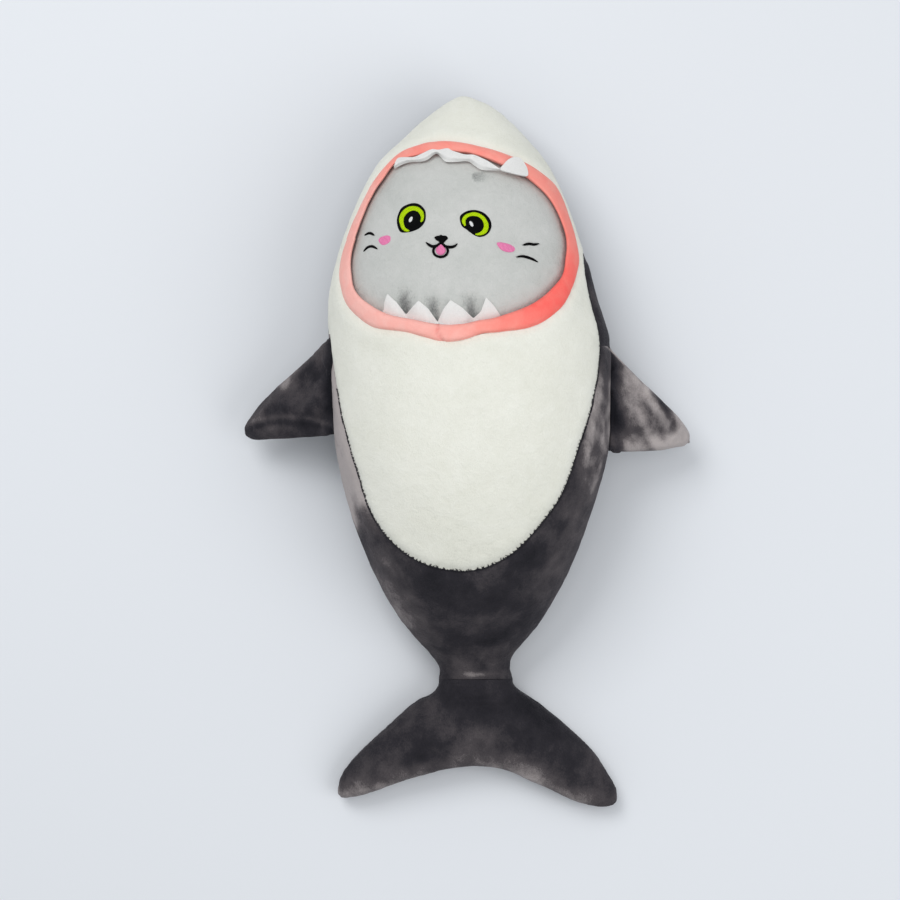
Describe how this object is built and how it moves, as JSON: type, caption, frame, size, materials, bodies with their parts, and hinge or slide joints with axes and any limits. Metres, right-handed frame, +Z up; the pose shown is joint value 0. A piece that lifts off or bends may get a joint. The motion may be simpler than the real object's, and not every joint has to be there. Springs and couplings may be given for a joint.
{
  "type": "plush shark",
  "caption": "Stuffed plush shark lying on its back, dark fins, tail and back, white belly, and an open mouth framed by a padded lip around an embroidered cat's face.",
  "frame": {"origin": "on the floor under the middle of the toy's outline, the toy lying on its back", "axes": "+Y towards the nose, +Z up from the floor through the belly, +X towards the toy's side that is on the right when the belly is seen from above with the nose at the top"},
  "size_m": [0.3785, 0.604, 0.1541],
  "materials": {
    "white_plush": "matte",
    "dark_plush": "matte",
    "grey_plush": "matte",
    "coral_plush": "matte",
    "white_felt": "matte",
    "fibre_filling": "matte",
    "black_thread": "matte",
    "green_thread": "matte",
    "white_thread": "matte",
    "pink_thread": "matte"
  },
  "bodies": {
    "body": {"belly_panel": "white_plush", "lower_front_panel": "dark_plush", "back_panel_left": "dark_plush", "back_panel_right": "dark_plush", "body_filling": "fibre_filling", "lip_band": "coral_plush", "cat_face_panel": "grey_plush", "left_eye_outline": "black_thread", "left_eye_iris": "green_thread", "left_eye_pupil": "black_thread", "left_eye_glint": "white_thread", "right_eye_outline": "black_thread", "right_eye_iris": "green_thread", "right_eye_pupil": "black_thread", "right_eye_glint": "white_thread", "cat_nose": "black_thread", "cat_mouth_left": "black_thread", "cat_mouth_right": "black_thread", "cat_tongue": "pink_thread", "left_cheek": "pink_thread", "right_cheek": "pink_thread", "whisker_left_upper": "black_thread", "whisker_left_lower": "black_thread", "whisker_right_upper": "black_thread", "whisker_right_lower": "black_thread"},
    "left_fin": {"left_fin_front_panel": "dark_plush", "left_fin_back_panel": "dark_plush", "left_fin_filling": "fibre_filling"},
    "right_fin": {"right_fin_front_panel": "dark_plush", "right_fin_back_panel": "dark_plush", "right_fin_filling": "fibre_filling"},
    "back_fin": {"back_fin_front_panel": "dark_plush", "back_fin_back_panel": "dark_plush", "back_fin_filling": "fibre_filling"},
    "tail": {"tail_front_panel": "dark_plush", "tail_back_panel": "dark_plush", "tail_filling": "fibre_filling"},
    "lower_teeth": {"lower_teeth": "white_felt"},
    "upper_teeth": {"upper_teeth": "white_felt"}
  },
  "joints": [
    {"name": "left_fin_flap", "type": "hinge", "parent": "body", "child": "left_fin", "pos_m": [-0.1183, 0.0534, 0.066], "axis": [0.0745, 0.9972, 0], "range_deg": [-15, 55], "stiffness_Nm_per_rad": 0.05},
    {"name": "right_fin_flap", "type": "hinge", "parent": "body", "child": "right_fin", "pos_m": [0.1209, 0.0444, 0.067], "axis": [-0.0144, -0.9999, 0], "range_deg": [-15, 55], "stiffness_Nm_per_rad": 0.05},
    {"name": "tail_bend", "type": "hinge", "parent": "body", "child": "tail", "pos_m": [0.0062, -0.1907, 0.0463], "axis": [-1, 0, 0], "range_deg": [0, 50], "stiffness_Nm_per_rad": 0.3},
    {"name": "back_fin_lean", "type": "hinge", "parent": "body", "child": "back_fin", "pos_m": [0.002, 0.0884, 0.0095], "axis": [0, 1, 0], "range_deg": [0, 95]},
    {"name": "lower_teeth_fold", "type": "hinge", "parent": "body", "child": "lower_teeth", "pos_m": [-0.0218, 0.1144, 0.139], "axis": [0.991, 0, 0.134], "range_deg": [0, 75], "stiffness_Nm_per_rad": 0.002, "deforming": ["lower_teeth"]},
    {"name": "upper_teeth_fold", "type": "hinge", "parent": "body", "child": "upper_teeth", "pos_m": [-0.0183, 0.2409, 0.104], "axis": [0.9995, -0.033, 0], "range_deg": [0, 75], "stiffness_Nm_per_rad": 0.002, "deforming": ["upper_teeth"]}
  ]
}
